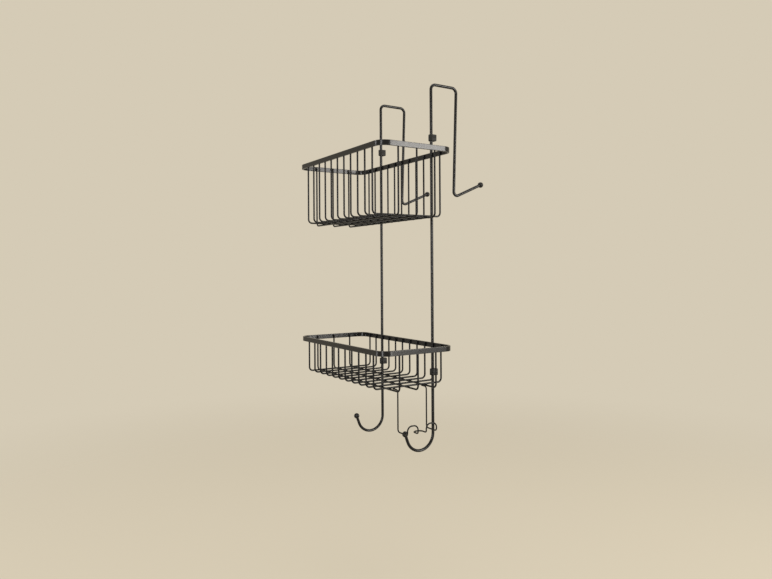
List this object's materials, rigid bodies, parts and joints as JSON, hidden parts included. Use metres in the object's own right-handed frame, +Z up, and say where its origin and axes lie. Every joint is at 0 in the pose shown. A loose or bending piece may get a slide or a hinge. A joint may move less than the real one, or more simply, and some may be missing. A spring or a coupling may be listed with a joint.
{
  "type": "shower caddy",
  "caption": "Wire shower caddy with stacked baskets that hangs over a glass panel, with robe hooks, front hooks, a razor holder and sliding rubber bumpers.",
  "frame": {"origin": "midway between the two hanger rods, at the height of the panel's top edge and in the plane of the bumper faces", "axes": "+X along the baskets to the user's right, +Y from the user to the panel, +Z up"},
  "size_m": [0.269, 0.2287, 0.559],
  "materials": {
    "black_metal": "satin black coating",
    "black_ball": "gloss black coating",
    "black_rubber": "matte"
  },
  "bodies": {
    "frame": {"hanger_rod_left": "black_metal", "hanger_rod_right": "black_metal", "upper_rim": "black_metal", "lower_rim": "black_metal", "upper_cross_wire_01": "black_metal", "upper_cross_wire_02": "black_metal", "upper_cross_wire_03": "black_metal", "upper_cross_wire_04": "black_metal", "upper_cross_wire_05": "black_metal", "upper_cross_wire_06": "black_metal", "upper_cross_wire_07": "black_metal", "upper_cross_wire_08": "black_metal", "upper_cross_wire_09": "black_metal", "upper_cross_wire_10": "black_metal", "upper_cross_wire_11": "black_metal", "lower_cross_wire_01": "black_metal", "lower_cross_wire_02": "black_metal", "lower_cross_wire_03": "black_metal", "lower_cross_wire_04": "black_metal", "lower_cross_wire_05": "black_metal", "lower_cross_wire_06": "black_metal", "lower_cross_wire_07": "black_metal", "lower_cross_wire_08": "black_metal", "lower_cross_wire_09": "black_metal", "lower_cross_wire_10": "black_metal", "lower_cross_wire_11": "black_metal", "upper_long_wire_front": "black_metal", "upper_long_wire_middle": "black_metal", "upper_long_wire_back": "black_metal", "lower_long_wire_front": "black_metal", "lower_long_wire_middle": "black_metal", "lower_long_wire_back": "black_metal", "razor_holder": "black_metal", "front_hook_ball_left": "black_ball", "front_hook_ball_right": "black_ball", "robe_hook_ball_left": "black_ball", "robe_hook_ball_right": "black_ball"},
    "upper_left_bumper": {"upper_bumper_left": "black_rubber"},
    "upper_right_bumper": {"upper_bumper_right": "black_rubber"},
    "lower_left_bumper": {"lower_bumper_left": "black_rubber"},
    "lower_right_bumper": {"lower_bumper_right": "black_rubber"}
  },
  "joints": [
    {"name": "upper_left_bumper_slide", "type": "slide", "parent": "frame", "child": "upper_left_bumper", "axis": [0, 0, 1], "range_m": [-0.0185, 0.068]},
    {"name": "upper_right_bumper_slide", "type": "slide", "parent": "frame", "child": "upper_right_bumper", "axis": [0, 0, 1], "range_m": [-0.0185, 0.068]},
    {"name": "lower_left_bumper_slide", "type": "slide", "parent": "frame", "child": "lower_left_bumper", "axis": [0, 0, 1], "range_m": [-0.086, 0.0325]},
    {"name": "lower_right_bumper_slide", "type": "slide", "parent": "frame", "child": "lower_right_bumper", "axis": [0, 0, 1], "range_m": [-0.086, 0.0325]}
  ]
}
